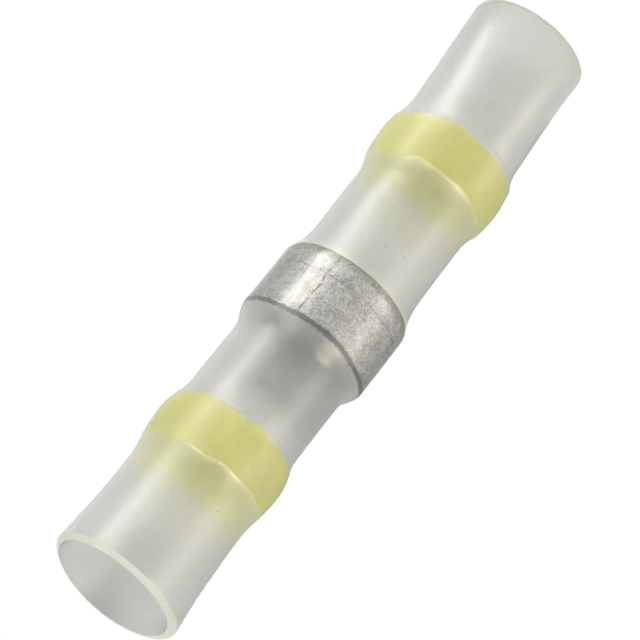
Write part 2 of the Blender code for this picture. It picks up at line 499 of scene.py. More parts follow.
@dataclass
class Sleeve(TurnedPiece):
    """The heat-shrink sleeve: drawn in between its rings and open at both ends.

    Args:
        rings: The rings that hold it out, from the lowest up.
        wall: Thickness of its wall.
        clearance: Gap between its bore and the rings.
        neck: Outer radius between the rings.
        lower_section: Outer radius next to the lower sealing ring.
        lower_mouth: Outer radius at the square-cut end.
        lower_flare: Length along which it opens there.
        upper_section: Outer radius next to the upper sealing ring.
        upper_mouth: Outer radius at the slanting mouth.
        upper_flare: Length along which it opens there.
        rim_rounding: Rounding of the cut edges.
        mouth_bevel: How much further the bore reaches than the outside at the mouth.
        thinned: How much the slanting cut thins the wall at the mouth, at its thinnest.
        thin_azimuth: Turn angle of that place.
        thin_arc: Angle to either side of it within which the wall gets thinner.
        thin_length: Length of bore that opens outwards there.
        slant_above_axis: How far the mouth's highest point is above its height on the axis.
        fold: Length of the fold below the solder ring that takes the pale cut finish as a painted bright
            band.
        ridge: Height of the bead where the sleeve bends over a sealing ring's edge.
        ridge_width: Half the width of that bead.
        bore_slack: How far past the bore's radius a face still counts as bore.
        fine_step: Distance between points near the rings' edges and the rims.
        coarse_step: Distance between points elsewhere.
    """

    rings: tuple[Ring, ...]
    wall: float = 0.55 * MM
    clearance: float = 0.03 * MM
    neck: float = 3.755 * MM
    lower_section: float = 3.79 * MM
    lower_mouth: float = 3.885 * MM
    lower_flare: float = 6.5 * MM
    upper_section: float = 3.85 * MM
    upper_mouth: float = 4.165 * MM
    upper_flare: float = 6.1 * MM
    rim_rounding: float = 0.08 * MM
    mouth_bevel: float = 0.19 * MM
    thinned: float = 0.22 * MM
    thin_azimuth: float = 105.0
    thin_arc: float = 80.0
    thin_length: float = 0.7 * MM
    slant_above_axis: float = 0.743 * MM
    fold: float = 0.36 * MM
    ridge: float = 0.022 * MM
    ridge_width: float = 0.09 * MM
    bore_slack: float = 0.01 * MM
    fine_step: float = 0.05 * MM
    coarse_step: float = 0.32 * MM
    length: float = field(init=False)

    def __post_init__(self) -> None:
        """Take the length on the axis from the frame's box, whose top is the slant's."""
        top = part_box(self.nodes[0])[1].z
        self.length = top - self.slant_above_axis

    def free(self, height: float) -> float:
        """Outer radius where no ring holds the sleeve out.

        Args:
            height: Height on the turned sleeve.

        Returns:
            The radius there.
        """
        if height < self.rings[0].middle:
            share = clamped(1.0 - height / self.lower_flare)
            return self.lower_section + (self.lower_mouth - self.lower_section) * share**2
        if height > self.rings[-1].middle:
            share = clamped(1.0 - (self.length - height) / self.upper_flare)
            return self.upper_section + (self.upper_mouth - self.upper_section) * share**2
        return self.neck

    def gripped(self, height: float) -> float:
        """Outer radius, drawn onto the ring that grips the sleeve most there.

        Args:
            height: Height on the turned sleeve.

        Returns:
            The radius there, without the beads.
        """
        ring = max(self.rings, key=lambda one: one.grip(height))
        seat = ring.outside(height) + self.clearance + self.wall
        return self.free(height) + ring.grip(height) * (seat - self.free(height))

    def outside(self, height: float) -> float:
        """Outer radius with the beads over the sealing rings' edges."""
        beads = (math.exp(-(((height - edge) / self.ridge_width) ** 2)) for edge in self.seal_edges())
        return self.gripped(height) + self.ridge * sum(beads)

    def uneven(self, place: Vector) -> Vector:
        """Open the bore outwards where the slanting cut leaves the wall thin.

        Args:
            place: A point of the turned sleeve.

        Returns:
            Its place with the thinner wall.
        """
        radius = place.xy.length
        depth = self.outside(min(place.z, self.length)) - radius
        below = clamped((self.length + self.mouth_bevel - place.z) / self.thin_length)
        if below == 1.0 or depth < self.rim_rounding:
            return place
        angle = math.degrees(math.atan2(place.x, -place.y))
        away = abs((angle - self.thin_azimuth + 180.0) % 360.0 - 180.0)
        share = smooth_step(1.0 - away / self.thin_arc) * (1.0 - below) * depth / self.wall
        swell = 1.0 + self.thinned * share / radius
        return Vector((place.x * swell, place.y * swell, place.z))

    def finish_number(self, radius: float, height: float) -> Face:
        """Tell what kind of face one of the turned sleeve's faces is.

        The tube is pale, as cut, on its two cut faces; the fold below the solder ring takes the same pale
        finish as a painted bright band.

        Args:
            radius: Distance of the face's middle from the Z axis.
            height: Height of the face's middle.

        Returns:
            The kind of face.
        """
        if not self.rim_rounding < height < self.length - self.rim_rounding / 2:
            past_bore = self.outside(self.length) - self.wall + self.bore_slack
            return Face.BORE if height > self.length and radius < past_bore else Face.CUT
        if radius < self.outside(height) - self.wall / 2:
            return Face.BORE
        solder = self.rings[1]
        # The fold below the solder ring takes the pale cut finish: a painted bright band.
        if solder.low - self.fold < height < solder.low:
            return Face.CUT
        if solder.low < height < solder.high:
            return Face.OVER_SOLDER
        sealed = any(ring.low < height < ring.high for ring in self.rings)
        return Face.OVER_SEAL if sealed else Face.OUTSIDE

    def seal_edges(self) -> list[float]:
        """Heights of the sealing rings' edges, from the lowest up."""
        seals = (self.rings[0], self.rings[-1])
        return [edge for ring in seals for edge in (ring.low, ring.high)]

    def outline(self) -> Outline:
        """Down the outside, round the square cut, up the bore, round the bevelled cut.

        Returns:
            The closed outline of its wall.
        """
        focuses = [0.0, self.length] + [edge for ring in self.rings for edge in (ring.low, ring.high)]
        heights = graded(0.0, self.length, focuses, self.fine_step, self.coarse_step)[3:-3]
        outside = [(self.outside(height), height) for height in reversed(heights)]
        bore = [(self.gripped(height) - self.wall, height) for height in heights]
        foot, mouth = self.outside(0.0), self.outside(self.length)
        corners = [
            (foot, 0.0), (foot - self.wall, 0.0),
            (mouth - self.wall, self.length + self.mouth_bevel), (mouth, self.length),
        ]
        points = outside
        points += rounded(corners[0], outside[-1], corners[1], self.rim_rounding)
        points += rounded(corners[1], corners[0], bore[0], self.rim_rounding)
        points += bore
        points += rounded(corners[2], bore[-1], corners[3], self.rim_rounding)
        points += rounded(corners[3], corners[2], outside[0], self.rim_rounding)
        return points


@dataclass(frozen=True)
class Pattern:
    """Soft noise on a surface, cut to a range.

    Args:
        size: Size of one of its features.
        detail: How many finer layers it has.
        roughness: How strong those layers are.
        levels: Noise levels between which it goes from the first value to the last.
        values: Those two values.
    """

    size: float
    detail: float = 2.0
    roughness: float = 0.5
    levels: tuple[float, float] = MID_NOISE
    values: tuple[float, float] = (0.0, 1.0)


@dataclass(frozen=True)
class Band:
    """Where a band lies on a finish, and how it looks.

    Args:
        middle: Its middle level.
        reach: Distance from there to where it has faded out.
        tint: Its colour.
        firmness: 1 for a soft band; more for a flat top and firmer edges.
    """

    middle: float
    reach: float
    tint: Colour = (0.0, 0.0, 0.0)
    firmness: float = 1.0


class NodeSheet:
    """Writes the nodes and links of one node tree."""

    def __init__(self, tree: NodeTree) -> None:
        """Start on a tree, which keeps what it already has."""
        self.tree = tree

    def feed(self, node: Node, inputs: Mapping[str | int, object]) -> None:
        """Give a node's inputs their values and links.

        Args:
            node: The node.
            inputs: For each input's name or number, a value or the socket to link.
        """
        for name, value in inputs.items():
            if isinstance(value, Socket):
                self.tree.links.new(value, node.inputs[name])
            else:
                node.inputs[name].default_value = value

    def add(
        self, kind: str, inputs: Mapping[str | int, object] | None = None, **settings: object
    ) -> Node:
        """Add a node, set it and feed it.

        Args:
            kind: The node's type, without the word ShaderNode.
            inputs: For each input's name or number, a value or the socket to link.
            settings: The node's own settings.

        Returns:
            The new node.
        """
        node = self.tree.nodes.new(f"ShaderNode{kind}")
        for name, value in settings.items():
            setattr(node, name, value)
        self.feed(node, inputs or {})
        return node

    def math(self, operation: str, *terms: object) -> Socket:
        """The result of one sum on numbers or sockets."""
        return self.add("Math", dict(enumerate(terms)), operation=operation).outputs[0]

    def span(
        self, value: object, start: float, end: float, low: float, high: float, curve: str = "LINEAR"
    ) -> Socket:
        """A value mapped from start..end to low..high and kept within that."""
        inputs = {"Value": value, "From Min": start, "From Max": end, "To Min": low, "To Max": high}
        return self.add("MapRange", inputs, interpolation_type=curve).outputs[0]

    def blend(self, factor: object, first: object, second: object) -> Socket:
        """A colour between two, each a colour or a socket."""
        colours = [(*c, 1.0) if isinstance(c, tuple) else c for c in (first, second)]
        return self.add("Mix", {0: factor, 6: colours[0], 7: colours[1]}, data_type="RGBA").outputs[2]

    def noise(self, place: object, pattern: Pattern) -> Socket:
        """Soft noise from 0 to 1 with the pattern's features, not yet cut to its range."""
        inputs = {"Scale": 1.0 / pattern.size, "Detail": pattern.detail, "Roughness": pattern.roughness}
        return self.add("TexNoise", {"Vector": place, **inputs}).outputs[0]

    def pattern(self, place: object, pattern: Pattern) -> Socket:
        """The pattern's noise, cut to its range."""
        return self.span(self.noise(place, pattern), *pattern.levels, *pattern.values)

    def relief(self, height: Socket, depth: float) -> Socket:
        """The normals of a surface relief of about that depth."""
        return self.add("Bump", {"Strength": 1.0, "Distance": depth, "Height": height}).outputs[0]

    def angle(self, axes: Mapping[str, Socket]) -> Socket:
        """Turn angle in radians, from the separated axes of a place."""
        return self.math("ARCTAN2", axes["X"], self.math("MULTIPLY", axes["Y"], -1.0))

    def radius(self, place: Socket) -> Socket:
        """Distance of a place from the Z axis."""
        flat = self.add("VectorMath", {0: place, 1: (1.0, 1.0, 0.0)}, operation="MULTIPLY").outputs[0]
        return self.add("VectorMath", {0: flat}, operation="LENGTH").outputs["Value"]


def new_material(name: str) -> tuple[Material, NodeSheet, Node]:
    """Make a material with plain nodes.

    Args:
        name: Its name.

    Returns:
        The material, its node sheet and its shader.
    """
    material = bpy.data.materials.new(name)
    material.use_nodes = True
    return material, NodeSheet(material.node_tree), material.node_tree.nodes["Principled BSDF"]


class SharedEffects:
    """The node groups that more than one finish uses."""

    def __init__(self) -> None:
        """Build each group once."""
        self.grain = self._grain()
        self.band = self._band()

    def _group(
        self, name: str, inputs: Mapping[str, str], outputs: Sequence[str]
    ) -> tuple[NodeSheet, Mapping[str, Socket], Node]:
        """Make a group with its sockets.

        Args:
            name: The group's name.
            inputs: Kind of each input by its name.
            outputs: Names of its outputs, which are numbers.

        Returns:
            The group's node sheet, the sockets that it is given, and the node for its results.
        """
        group = bpy.data.node_groups.new(name, "ShaderNodeTree")
        for socket, kind in inputs.items():
            group.interface.new_socket(socket, in_out="INPUT", socket_type=f"NodeSocket{kind}")
        for socket in outputs:
            group.interface.new_socket(socket, in_out="OUTPUT", socket_type="NodeSocketFloat")
        return NodeSheet(group), group.nodes.new("NodeGroupInput").outputs, group.nodes.new("NodeGroupOutput")

    def _grain(self) -> NodeTree:
        """Write fine grain, and a slower tone that clouds the surface.

        Returns:
            The group.
        """
        sheet, given, result = self._group(
            "surface_grain", {"Place": "Vector", "Fineness": "Float"}, ("Height", "Tone")
        )
        slow = sheet.math("MULTIPLY", given["Fineness"], TONE_SCALE)
        layers = {"Height": (given["Fineness"], 1.0), "Tone": (slow, 3.0)}
        for output, (scale, detail) in layers.items():
            noise = sheet.add("TexNoise", {"Vector": given["Place"], "Scale": scale, "Detail": detail})
            sheet.feed(result, {output: noise.outputs[0]})
        return sheet.tree

    def _band(self) -> NodeTree:
        """Write a mask: 1 round the middle level, 0 past the reach; firmness widens its top.

        Returns:
            The group.
        """
        inputs = {"Level": "Float", "Middle": "Float", "Reach": "Float", "Firmness": "Float"}
        sheet, given, result = self._group("soft_band", inputs, ("Mask",))
        away = sheet.math("ABSOLUTE", sheet.math("SUBTRACT", given["Level"], given["Middle"]))
        soft = sheet.span(sheet.math("DIVIDE", away, given["Reach"]), 1.0, 0.0, 0.0, 1.0, "SMOOTHSTEP")
        mask = sheet.math("MINIMUM", sheet.math("MULTIPLY", soft, given["Firmness"]), 1.0)
        sheet.feed(result, {"Mask": mask})
        return sheet.tree


@dataclass(frozen=True)
class Canvas:
    """A new material to paint: its nodes, and where the points of its surface are.

    Args:
        sheet: The material's node sheet.
        shader: Its shader.
        here: The point's place on the object.
        turned: The place that it had when turned.
        axes: That place's X, Y and Z.
    """

    sheet: NodeSheet
    shader: Node
    here: Socket
    turned: Socket
    axes: Mapping[str, Socket]


@dataclass(frozen=True)
class Finish:
    """What every finish has: the shared effects, and how it starts its material."""

    effects: SharedEffects

    def start(self, name: str) -> tuple[Material, Canvas]:
        """Make the material and find where its points are.

        Args:
            name: The material's name.

        Returns:
            The material and its canvas.
        """
        material, sheet, shader = new_material(name)
        here = sheet.add("TexCoord").outputs["Object"]
        place = sheet.add("Attribute", attribute_type="GEOMETRY", attribute_name=TURNED_PLACE)
        turned = place.outputs["Vector"]
        return material, Canvas(sheet, shader, here, turned, sheet.add("SeparateXYZ", {0: turned}).outputs)

    def grained(self, canvas: Canvas, size: float) -> tuple[Socket, Socket]:
        """Height and slower tone of a grain whose features have this size."""
        inputs = {"Place": canvas.here, "Fineness": 1.0 / size}
        return tuple(canvas.sheet.add("Group", inputs, node_tree=self.effects.grain).outputs)

    def mask(self, sheet: NodeSheet, level: Socket, band: Band) -> Socket:
        """1 within the band and 0 away from it, by a level that the surface has."""
        places = {"Level": level, "Middle": band.middle, "Reach": band.reach, "Firmness": band.firmness}
        return sheet.add("Group", places, node_tree=self.effects.band).outputs[0]

    def banded(self, sheet: NodeSheet, level: Socket, tint: Socket, bands: Iterable[Band]) -> Socket:
        """Lay bands over a tint, one after the other.

        Args:
            sheet: The material's node sheet.
            level: The surface's level that the bands go by.
            tint: The tint so far.
            bands: The bands.

        Returns:
            The tint with the bands.
        """
        for band in bands:
            tint = sheet.blend(self.mask(sheet, level, band), tint, band.tint)
        return tint


@dataclass(frozen=True)
class TubeFace(Finish):
    """What all kinds of faces of the shrunk tube have in common.

    Args:
        name: The finish's name.
        clear: Tint of the face.
        cloudy: Tint of its milkier patches.
        frosting: Lowest and highest roughness.
        see_through: Share of light that goes through and isn't scattered.
        cloud_levels: Sum of grain and tone at which the face is clear, and cloudy.
        grain: Size of one feature of its grain.
        grain_depth: Depth of its grain.
        index: Index of refraction.
        shine: Specular level.
        skin: Least and most of the satin skin that it has.
        skin_roughness: Roughness of that skin.
        skin_index: Index of refraction of that skin.
    """

    name: str
    clear: Colour
    cloudy: Colour
    frosting: tuple[float, float]
    see_through: float
    cloud_levels: tuple[float, float] = (0.7, 1.3)
    grain: float = 0.22 * MM
    grain_depth: float = 0.0022 * MM
    index: float = 1.48
    shine: float = 0.5
    skin: tuple[float, float] = (0.0, 0.0)
    skin_roughness: float = 0.36
    skin_index: float = 1.5

    def material(self, sleeve: Sleeve) -> Material:
        """Make the face's material, with its marks at the sleeve's own heights.

        Args:
            sleeve: The sleeve that it dresses.

        Returns:
            The material.
        """
        material, canvas = self.start(self.name)
        sheet = canvas.sheet
        height, tone = self.grained(canvas, self.grain)
        cloud = sheet.span(sheet.math("ADD", tone, height), *self.cloud_levels, 0.0, 1.0)
        looks = {
            "Base Color": self.marked(canvas, sheet.blend(cloud, self.clear, self.cloudy), sleeve),
            "Roughness": sheet.span(height, *WIDE_NOISE, *self.frosting),
            "IOR": self.index,
            "Specular IOR Level": self.shine,
            "Transmission Weight": self.see_through,
            "Coat Roughness": self.skin_roughness,
            "Coat IOR": self.skin_index,
            "Normal": sheet.relief(height, self.grain_depth),
        }
        if any(self.skin):
            looks["Coat Weight"] = sheet.span(height, *MID_NOISE, *self.skin)
        sheet.feed(canvas.shader, looks)
        return material

    def marked(self, canvas: Canvas, tint: Socket, sleeve: Sleeve) -> Socket:
        """The tint with the marks that this kind of face has."""
        return tint


@dataclass(frozen=True)
class TubeOutside(TubeFace):
    """Satin outside of the shrunk tube, with a painted light line where the wall bends over each sealing
    ring's edge and painted shade along the solder ring's upper edge.

    Args:
        lines: The faint lines that drawing has left along the tube.
        line_squeeze: How little those lines change along the tube.
        painted_bend_line: Painted light line where the wall bends over a sealing ring's edge.
        bend_reach: Half the width of that line.
        solder_edge_shade: Painted shade along the solder ring's upper edge, where its end face lies in
            shadow.
        solder_edge_shade_rise: How far above that edge its middle is.
        solder_edge_shade_reach: Half the width of that line.
        wander: How these lines stray up and down.
        speck: Tint of the tiny specks that lie in the wall.
        speck_strength: How much of that tint they have.
        specks: Turn angle in degrees, height and radius of each speck.
    """

    name: str = "satin_tube_outside"
    clear: Colour = (0.875, 0.88, 0.86)
    cloudy: Colour = (0.965, 0.97, 0.955)
    frosting: tuple[float, float] = (0.32, 0.44)
    see_through: float = 0.95
    grain_depth: float = 0.006 * MM
    skin: tuple[float, float] = (0.3, 0.75)
    lines: Pattern = Pattern(0.16 * MM, 1.0, levels=(0.45, 0.75), values=(0.0, 0.35))
    line_squeeze: float = 0.03
    painted_bend_line: Colour = (0.90, 0.91, 0.79)
    bend_reach: float = 0.10 * MM
    solder_edge_shade: Colour = (0.15, 0.155, 0.16)
    solder_edge_shade_rise: float = 0.20 * MM
    solder_edge_shade_reach: float = 0.25 * MM
    wander: Pattern = Pattern(0.25 * MM, values=(-0.05 * MM, 0.05 * MM))
    speck: Colour = (0.12, 0.12, 0.08)
    speck_strength: float = 0.5
    specks: tuple[tuple[float, float, float], ...] = (
        (-3.0, 34.0 * MM, 0.09 * MM), (-30.0, 35.9 * MM, 0.08 * MM), (-3.5, 17.75 * MM, 0.07 * MM),
        (-22.0, 17.4 * MM, 0.07 * MM),
    )

    def marked(self, canvas: Canvas, tint: Socket, sleeve: Sleeve) -> Socket:
        """Add the drawing lines, the painted light lines over the sealing rings' edges, the painted shade
        along the solder's upper edge and the specks.

        Args:
            canvas: The material to paint.
            tint: The tint so far.
            sleeve: The sleeve that it dresses.

        Returns:
            The tint with the marks.
        """
        sheet, turned = canvas.sheet, canvas.turned
        drawn = sheet.add("Mapping", {"Vector": turned, "Scale": (1.0, 1.0, self.line_squeeze)}).outputs[0]
        tint = sheet.blend(sheet.pattern(drawn, self.lines), tint, self.cloudy)
        # Painted light: a pale line where the wall bends over each sealing ring's edge.
        bands = [Band(edge, self.bend_reach, self.painted_bend_line) for edge in sleeve.seal_edges()]
        # Painted shade: a dark line along the solder ring's upper edge, where its end face lies in shadow.
        bands.append(Band(sleeve.rings[1].high + self.solder_edge_shade_rise, self.solder_edge_shade_reach, self.solder_edge_shade, FIRM))
        level = sheet.math("ADD", canvas.axes["Z"], sheet.pattern(turned, self.wander))
        tint = self.banded(sheet, level, tint, bands)
        for azimuth, height, size in self.specks:
            turn, radius = math.radians(azimuth), sleeve.outside(height)
            place = (math.sin(turn) * radius, -math.cos(turn) * radius, height)
            away = sheet.add("VectorMath", {0: turned, 1: place}, operation="DISTANCE").outputs["Value"]
            dot = sheet.span(away, size / 2, size, self.speck_strength, 0.0)
            tint = sheet.blend(dot, tint, self.speck)
        return tint


@dataclass(frozen=True)
class TubeOverSolder(TubeOutside):
    """Outside of the tube where it is stretched smooth and clear over the solder ring."""

    name: str = "clear_tube_over_solder"
    frosting: tuple[float, float] = (0.16, 0.22)
    skin: tuple[float, float] = (0.0, 0.05)
    shine: float = 0.1


@dataclass(frozen=True)
class TubeOverSeal(TubeOutside):
    """Outside of the tube where it lies on a sealing ring, with less of the satin skin."""

    name: str = "tube_over_hot_melt"
    skin: tuple[float, float] = (0.0, 0.25)
    shine: float = 0.3


@dataclass(frozen=True)
class TubeBore(TubeFace):
    """Milky bore of the shrunk tube, which blurs what shows through it.

    Args:
        ring_glow: Yellow tint above each sealing ring, painted in for the yellow light that the ring sends
            into the bore.
        ring_glow_reach: How far that painted glow goes before it has faded out.
        solder_shade: Painted shade in the bore above the solder ring, where the ring's dark end face shows
            through and its shadow falls.
        solder_shade_rise: How far above the ring it is darkest.
        solder_shade_reach: How far it goes from there.
        solder_shade_azimuth: Turn angle at which it is darkest.
        solder_shade_arc: Angle to either side of there at which it has faded out.
        shaded: Painted shade on the back of the bore below the wide mouth.
        shade_arc: Angle to either side of the back at which that has faded out.
        shade_start: How much of that tint there is at its lower end.
        stripe: How much of that painted shade the middle of the front has.
        stripe_arc: Angle to either side of the front at which that has faded out.
        foot: Painted shade on the end of the bore near the square cut.
    """

    name: str = "milky_tube_bore"
    clear: Colour = (0.69, 0.695, 0.675)
    cloudy: Colour = (0.77, 0.775, 0.76)
    frosting: tuple[float, float] = (0.42, 0.52)
    see_through: float = 0.64
    grain: float = 0.4 * MM
    grain_depth: float = 0.004 * MM
    ring_glow: Colour = (0.77, 0.785, 0.385)
    ring_glow_reach: float = 3.2 * MM
    solder_shade: Colour = (0.37, 0.38, 0.375)
    solder_shade_rise: float = 3.1 * MM
    solder_shade_reach: float = 3.5 * MM
    solder_shade_azimuth: float = -28.0
    solder_shade_arc: float = 92.0
    shaded: Colour = (0.33, 0.335, 0.32)
    shade_arc: float = 75.0
    shade_start: float = 0.25
    stripe: float = 0.32
    stripe_arc: float = 42.0
    foot: Band = Band(0.0, 6.0 * MM, (0.635, 0.64, 0.625))

    def marked(self, canvas: Canvas, tint: Socket, sleeve: Sleeve) -> Socket:
        """Add the painted yellow glow above the sealing rings, the painted shade above the solder ring and
        near the square cut, and the painted shade below the mouth.

        Args:
            canvas: The material to paint.
            tint: The tint so far.
            sleeve: The sleeve that it dresses.

        Returns:
            The tint with the painted glow and the painted shades.
        """
        sheet, level, angle = canvas.sheet, canvas.axes["Z"], canvas.sheet.angle(canvas.axes)
        lower, solder, upper = sleeve.rings
        # Painted light: a yellow glow in the bore above each sealing ring.
        ring_glows = (Band(ring.high, self.ring_glow_reach, self.ring_glow, FIRM) for ring in (lower, upper))
        # The foot band is painted shade near the square cut.
        tint = self.banded(sheet, level, tint, (self.foot, *ring_glows))
        # Painted shade above the solder ring, darkest to one side.
        rise = Band(solder.high + self.solder_shade_rise, self.solder_shade_reach, firmness=FIRM)
        side = Band(math.radians(self.solder_shade_azimuth), math.radians(self.solder_shade_arc), firmness=FIRM)
        solder_shade = sheet.math("MULTIPLY", self.mask(sheet, level, rise), self.mask(sheet, angle, side))
        tint = sheet.blend(solder_shade, tint, self.solder_shade)
        # Painted shade: the back of the bore below the mouth, and a stripe down the middle of the front.
        back = self.mask(sheet, sheet.math("ABSOLUTE", angle), Band(math.pi, math.radians(self.shade_arc)))
        front = self.mask(sheet, angle, Band(0.0, math.radians(self.stripe_arc)))
        shade = sheet.math("MAXIMUM", back, sheet.math("MULTIPLY", front, self.stripe))
        upwards = sheet.span(level, upper.high + self.ring_glow_reach, sleeve.length, self.shade_start, 1.0)
        return sheet.blend(sheet.math("MULTIPLY", shade, upwards), tint, self.shaded)


@dataclass(frozen=True)
class TubeCut(TubeFace):
    """Cut faces of the tube, where its pale yellow-green body colour gathers, and the fold below the solder
    ring, where the same finish is a painted bright band.

    Args:
        edge: Painted highlight along the mouth's inner edge, where its rounding catches the light.
        edge_reach: Width of that line.
    """

    name: str = "pale_tube_cut"
    clear: Colour = (0.95, 0.97, 0.76)
    cloudy: Colour = (0.97, 0.98, 0.81)
    frosting: tuple[float, float] = (0.45, 0.6)
    see_through: float = 0.4
    edge: Colour = (1.0, 1.0, 0.92)
    edge_reach: float = 0.16 * MM
    skin: tuple[float, float] = (0.8, 1.0)
    skin_roughness: float = 0.3
    skin_index: float = 1.75
    grain: float = 0.12 * MM
    grain_depth: float = 0.004 * MM

    def marked(self, canvas: Canvas, tint: Socket, sleeve: Sleeve) -> Socket:
        """Add the painted highlight along the mouth's inner edge.

        Args:
            canvas: The material to paint.
            tint: The tint so far.
            sleeve: The sleeve that it dresses.

        Returns:
            The tint with that line.
        """
        sheet, inner = canvas.sheet, sleeve.upper_mouth - sleeve.wall
        radius = sheet.radius(canvas.turned)
        # Painted highlight: a paler line along the mouth's inner edge.
        line = sheet.span(radius, inner, inner + self.edge_reach, 1.0, 0.0, "SMOOTHSTEP")
        return sheet.blend(line, tint, self.edge)


@dataclass(frozen=True)
class HotMelt(Finish):
    """Yellow hot-melt adhesive: satin, slightly clouded, a little light comes through.

    Args:
        body: Colour of the ring.
        pale: Colour of its paler patches.
        clouds: Those patches.
        grain_share: How much the grain adds to them.
        edges: How far the painted highlight along its edges goes, its colour and its firmness.
        grain: Size of one feature of its grain.
        grain_depth: Depth of its surface grain.
        gloss: Lowest and highest roughness.
        shine: Specular level, low because the sleeve clings to it.
        glow: Share of light that spreads inside it.
        glow_reach: How far red, green and blue light spread there, in millimetres.
    """

    body: Colour = (0.60, 0.59, 0.192)
    pale: Colour = (0.64, 0.63, 0.255)
    clouds: Pattern = Pattern(1.1 * MM, 3.0, levels=(0.5, 0.95))
    grain_share: float = 0.4
    edges: tuple[float, Colour, float] = (0.22 * MM, (0.71, 0.71, 0.43), 1.5)
    grain: float = 0.2 * MM
    grain_depth: float = 0.003 * MM
    gloss: tuple[float, float] = (0.38, 0.55)
    shine: float = 0.05
    glow: float = 0.7
    glow_reach: Colour = (0.9, 0.85, 0.3)

    def material(self, sleeve: Sleeve) -> Material:
        """Make the sealing rings' material, with a painted highlight along their edges.

        Args:
            sleeve: The sleeve that holds the rings.

        Returns:
            The material.
        """
        material, canvas = self.start("hot_melt_adhesive")
        sheet = canvas.sheet
        height, tone = self.grained(canvas, self.grain)
        grain = sheet.math("MULTIPLY", tone, self.grain_share)
        cloud = sheet.math("ADD", grain, sheet.noise(canvas.here, self.clouds))
        colour = sheet.blend(sheet.span(cloud, *self.clouds.levels, 0.0, 1.0), self.body, self.pale)
        # Painted highlight: a paler band along each sealing ring's edge.
        bands = (Band(edge, *self.edges) for edge in sleeve.seal_edges())
        sheet.feed(canvas.shader, {
            "Base Color": self.banded(sheet, canvas.axes["Z"], colour, bands),
            "Roughness": sheet.span(height, *HIGH_NOISE, *self.gloss),
            "Specular IOR Level": self.shine,
            "Subsurface Weight": self.glow,
            "Subsurface Radius": self.glow_reach,
            "Subsurface Scale": MM,
            "Normal": sheet.relief(height, self.grain_depth),
        })
        return material


